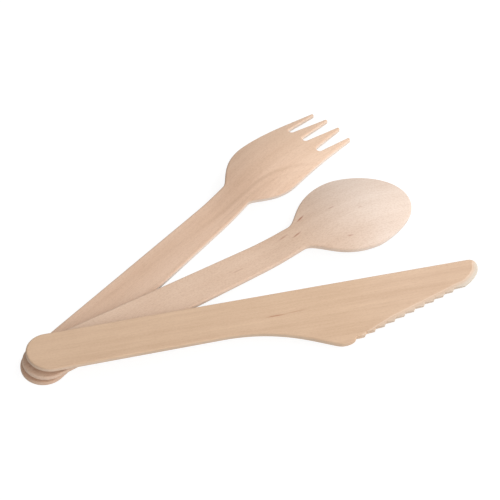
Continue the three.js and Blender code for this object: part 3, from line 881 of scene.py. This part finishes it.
# The spoon's side edges get the pale cut colour at 0.35, partly painted light; its handle tint is partly
# painted light
spoon_birch = birch(
    "spoon_birch", pale=(0.86, 0.725, 0.63), deep=(0.735, 0.575, 0.47), seed=8.0, fibre_share=0.4,
    speckle_share=0.8, end_share=0.1, side_colour_and_shading=PALE_CUT_AND_HIGHLIGHT_COLOUR, side_share=0.35,
    handle_tint_and_shading=(0.985, 0.875, 0.775), flecks=SPOON_FLECKS)
spoon_mesh = run_tree(
    spoon_flat, PRESSING_TREE, sheet=SHEET, bend=BEND, cup=BOWL_CUP, crest=BOWL_CREST, tip=SPOON_TIP,
    crest_height=4.2 * MM, tip_drop=2.9 * MM, tip_slope=0.47, crown=3.85 * MM,
    half_width=BOWL_HALF_WIDTH, birch=spoon_birch)
seat(spoon_mesh, "spoon")

# %% [markdown]
# Saw edge
# The teeth of the knife are all alike and stand in a straight row, so one tooth is drawn and repeated. The
# tree takes the line of the tooth roots, puts a point at every root, and sets two short lines on each: the
# long flank, along the handle, and the step up to the next root. Joined into one line, its corners are
# rounded by Fillet Curve, as the grinder leaves them. It only draws a line, so it needs no material.

# %% Geometry Nodes tree for the saw edge
JOIN_DISTANCE = 0.01 * MM
CORNER_POINTS = 5
LINE_CUTS = 2


def saw_tree():
    """The tree that draws the saw edge on the line of its roots."""
    tree, given = new_tree("saw_edge", ["Pitch", "Flank", "Rise", "Corner Radius"], Teeth="Int")
    line = add_node(tree, "GeometryNodeMeshToCurve", {"Mesh": given["Blank"]})
    count = calculate(tree, "ADD", given["Teeth"], 1.0)
    roots = add_node(tree, "GeometryNodeResampleCurve", {"Curve": line.outputs[0], "Count": count})
    corner = add_node(tree, "ShaderNodeCombineXYZ", {"X": given["Flank"]}).outputs[0]
    next_root = add_node(tree, "ShaderNodeCombineXYZ", {"X": given["Pitch"], "Y": given["Rise"]}).outputs[0]
    flank = add_node(tree, "GeometryNodeCurvePrimitiveLine", {"Start": (0, 0, 0), "End": corner})
    step = add_node(tree, "GeometryNodeCurvePrimitiveLine", {"Start": corner, "End": next_root})
    number = tree.nodes.new("GeometryNodeInputIndex").outputs[0]
    has_step = calculate(tree, "LESS_THAN", number, given["Teeth"])
    flanks = add_node(tree, "GeometryNodeInstanceOnPoints",
                      {"Points": roots.outputs[0], "Instance": flank.outputs[0]})
    steps = add_node(tree, "GeometryNodeInstanceOnPoints",
                     {"Points": roots.outputs[0], "Selection": has_step, "Instance": step.outputs[0]})
    joined = tree.nodes.new("GeometryNodeJoinGeometry")
    tree.links.new(flanks.outputs[0], joined.inputs[0])
    tree.links.new(steps.outputs[0], joined.inputs[0])
    plain = add_node(tree, "GeometryNodeRealizeInstances", {"Geometry": joined.outputs[0]})
    lines = add_node(tree, "GeometryNodeCurveToMesh", {"Curve": plain.outputs[0]})
    merged = add_node(tree, "GeometryNodeMergeByDistance",
                      {"Geometry": lines.outputs[0], "Distance": JOIN_DISTANCE})
    whole = add_node(tree, "GeometryNodeMeshToCurve", {"Mesh": merged.outputs[0]})
    corners = {"Curve": whole.outputs[0], "Radius": given["Corner Radius"], "Count": CORNER_POINTS}
    rounded = add_node(tree, "GeometryNodeFilletCurve", corners, mode="POLY")
    finer = add_node(tree, "GeometryNodeSubdivideCurve", {"Curve": rounded.outputs[0], "Cuts": LINE_CUTS})
    drawn = add_node(tree, "GeometryNodeCurveToMesh", {"Curve": finer.outputs[0]})
    add_node(tree, "NodeGroupOutput", {"Piece": drawn.outputs[0]})
    return tree


def line_object(name, run):
    """An object that is only a line through points of the sheet."""
    mesh = bpy.data.meshes.new(name)
    mesh.from_pydata([(u, v, 0) for u, v in run], [(i, i + 1) for i in range(len(run) - 1)], [])
    line = bpy.data.objects.new(name, mesh)
    bpy.context.scene.collection.objects.link(line)
    return line


# %% Saw edge of the knife
FIRST_TOOTH = point(113.85, -17.35) * MM
LAST_TOOTH = point(154.05, -3.25) * MM
TOOTH_PITCH = 4.02 * MM
TOOTH_FLANK = 3.15 * MM
TOOTH_CORNER = 0.3 * MM
teeth = round((LAST_TOOTH[0] - FIRST_TOOTH[0]) / TOOTH_PITCH)
tooth_step = (LAST_TOOTH - FIRST_TOOTH) / teeth
saw_mesh = run_tree(
    line_object("saw_line", [FIRST_TOOTH, LAST_TOOTH]), saw_tree(), pitch=tooth_step[0], flank=TOOTH_FLANK,
    rise=tooth_step[1], corner_radius=TOOTH_CORNER, teeth=teeth)
saw_edge = sorted((point(v.co.x, v.co.y) for v in saw_mesh.vertices), key=lambda p: p[0])
bpy.data.meshes.remove(saw_mesh)
print("saw edge of", teeth, "teeth and", len(saw_edge), "points")

# %% [markdown]
# Knife
# The knife stays flat. Its spine is straight, its lower edge swells to a heel in front of the teeth, and
# the end of the blade is slanted with a bellied edge. Each face is ground down towards the saw edge and
# the slanted end. A bevel like that follows a line, so the tree of the knife asks Geometry Proximity how
# far each point is from the line of the tooth tips, and makes the sheet thinner the nearer it is.

# %% Outline of the knife
GRIP = point(69, -7.65) * MM
HEEL = point(108.65, -19.75) * MM
KNIFE_END = 165.4 * MM
POINT_RADIUS = 2.9 * MM
POINT_SWELL = point(165.1, 0.65) * MM
POINT_FLANK = 3.95 * MM
POINT_CORNER = LAST_TOOTH + point(POINT_FLANK, 0)
POINT_TOP = point(KNIFE_END, END_RADIUS - POINT_RADIUS)
GRIP_REACH = 23.9 * MM
BELLY_REACH = 4.65 * MM
HEEL_REACH = 4.15 * MM
GRIP_STEPS = 30
BELLY_STEPS = 40
HEEL_STEPS = 14
POINT_STEPS = 30

low_edge = arc(point(END_RADIUS, 0), END_RADIUS, 2 * QUARTER, 3 * QUARTER, END_STEPS)
low_edge += bezier([low_edge[-1], GRIP], GRIP_STEPS)
low_edge += bezier([GRIP, GRIP + point(GRIP_REACH, 0), HEEL - point(BELLY_REACH, 0), HEEL], BELLY_STEPS)
heel_number = len(low_edge)
low_edge += bezier([HEEL, HEEL + point(HEEL_REACH, 0), FIRST_TOOTH], HEEL_STEPS)
low_edge += saw_edge[1:]
point_edge = [POINT_CORNER] + bezier([POINT_CORNER, POINT_SWELL, POINT_TOP], POINT_STEPS)
low_edge += point_edge


def spine_at(u):
    """The upper edge of the knife, with its round end and its round corner at the point."""
    if u < END_RADIUS:
        return math.sqrt(max(0, END_RADIUS**2 - (END_RADIUS - u)**2))
    past_corner = max(0, u - (KNIFE_END - POINT_RADIUS))
    return POINT_TOP[1] + math.sqrt(max(0, POINT_RADIUS**2 - past_corner**2))


high_edge = [point(u, spine_at(u)) for u, _ in low_edge]
print("knife of", round(KNIFE_END / MM, 1), "mm, outline of", len(low_edge) + len(high_edge) - 2, "points")

# %% [markdown]
# The bevel follows the tips of the teeth and then the slanted end. At the heel the grinder leaves the
# blade slowly, so the line that the bevel follows starts a little outside the first tooth.
# The rows of the blank run from the lower edge to the spine. A fixed number of its columns stay between
# the edge and the inner line of the bevel, so that the bevel starts on a line of points and looks crisp.

# %% Blank of the knife
BEVEL_WIDTH = 2.15 * MM
EDGE_THICKNESS = 0.7 * MM
EDGE_ARRIS = 0.1 * MM
RUN_OUT = 1.3 * MM
RUN_OUT_TEETH = 3
BEVEL_COLUMNS = 8
KNIFE_COLUMNS = 32
LEAST_SHARE = 0.06
MOST_SHARE = 0.85
ARRIS_BLEND = 9

first_tip = FIRST_TOOTH + point(TOOTH_FLANK, 0)
out_of_blade = point(tooth_step[1], -tooth_step[0]) / np.linalg.norm(tooth_step)
edge_line = [first_tip + out_of_blade * RUN_OUT, first_tip + tooth_step * RUN_OUT_TEETH]
edge_line += [first_tip + tooth_step * teeth, *point_edge]
line_u, line_v = np.transpose(edge_line)
line_slope = np.gradient(line_v, line_u)


def knife_shares(low, high):
    """Where the columns of a row lie: some on the bevel, the others even over the rest."""
    start, end = knife_blank.outline[low], knife_blank.outline[high]
    slope = np.interp(start[0], line_u, line_slope)
    bevel_line = np.interp(start[0], line_u, line_v) + BEVEL_WIDTH * math.hypot(1, slope)
    width = max(end[1] - start[1], ARRIS)
    share = np.clip((bevel_line - start[1]) / width, LEAST_SHARE, MOST_SHARE)
    return np.interp(np.arange(KNIFE_COLUMNS + 1), (0, BEVEL_COLUMNS, KNIFE_COLUMNS), (0, share, 1))


last = len(low_edge) - 1
knife_outline = low_edge + high_edge[-2:0:-1]
knife_arris = np.full(len(knife_outline), ARRIS)
knife_arris[heel_number:last + 1] = EDGE_ARRIS
padded_arris = np.pad(knife_arris, ARRIS_BLEND, mode="wrap")
window = np.full(2 * ARRIS_BLEND + 1, 1 / (2 * ARRIS_BLEND + 1))
knife_arris = np.convolve(padded_arris, window, mode="valid")
knife_blank = Blank(knife_outline, knife_arris)
row = knife_blank.fill([0], range(1, last), range(2 * last - 1, last, -1), knife_shares)
bridge(knife_blank.faces, row, [last])
knife_flat = knife_blank.to_object("knife")

# %% Geometry Nodes tree for the ground blade
def grinding_tree():
    """The tree that gives the knife its thickness, ground down towards its edge."""
    tree, given = new_tree("ground_blade", ["Sheet", "Edge Thickness", "Bevel Width"], Edge="Object",
                           Birch="Material")
    edge = add_node(tree, "GeometryNodeObjectInfo", {"Object": given["Edge"]})
    near = add_node(tree, "GeometryNodeProximity", {0: edge.outputs["Geometry"]}, target_element="EDGES")
    half = calculate(tree, "DIVIDE", given["Sheet"], 2.0)
    half_edge = calculate(tree, "DIVIDE", given["Edge Thickness"], 2.0)
    ground = ramp(tree, near.outputs["Distance"], 0.0, given["Bevel Width"], half_edge, half)
    share = ramp(tree, near.outputs["Distance"], 0.0, given["Bevel Width"], 1.0, 0.0)
    marked = add_node(tree, "GeometryNodeStoreNamedAttribute",
                      {"Geometry": given["Blank"], "Name": "ground", "Value": share}, data_type="FLOAT",
                      domain="POINT")
    thick = add_node(tree, "GeometryNodeGroup", {"Blank": marked.outputs[0], "Half Thickness": ground},
                     node_tree=THICKNESS_TREE)
    laid = add_node(tree, "GeometryNodeSetPosition",
                    {"Geometry": thick.outputs[0], "Offset": upwards(tree, half)})
    return finish_tree(tree, laid.outputs[0], given["Birch"])


# %% Knife, ground and seated
# The centre of each fleck, half its length, half its width, its slant in degrees, and its strength
KNIFE_FLECKS = [
    (point(89, -2.1) * MM, 5 * MM, 0.4 * MM, 0, 0.6),
    (point(96.5, -1.7) * MM, 5.5 * MM, 0.35 * MM, 4, 0.3),
]
# The knife's sides get painted shade, a grey at a share of 0.3, and its handle tint is partly painted shade
knife_birch = birch(
    "knife_birch", pale=(0.79, 0.57, 0.41), deep=(0.65, 0.445, 0.305), seed=14.0, fibre_share=0.8,
    speckle_share=0.4, end_share=0.25, side_colour_and_shading=PAINTED_SIDE_SHADE_COLOUR, side_share=0.3,
    handle_tint_and_shading=(0.975, 0.963, 0.932), flecks=KNIFE_FLECKS)
edge_guide = line_object("edge_line", edge_line)
knife_mesh = run_tree(
    knife_flat, grinding_tree(), sheet=SHEET, edge_thickness=EDGE_THICKNESS, bevel_width=BEVEL_WIDTH,
    edge=edge_guide, birch=knife_birch)
bpy.data.objects.remove(edge_guide)
seat(knife_mesh, "knife")
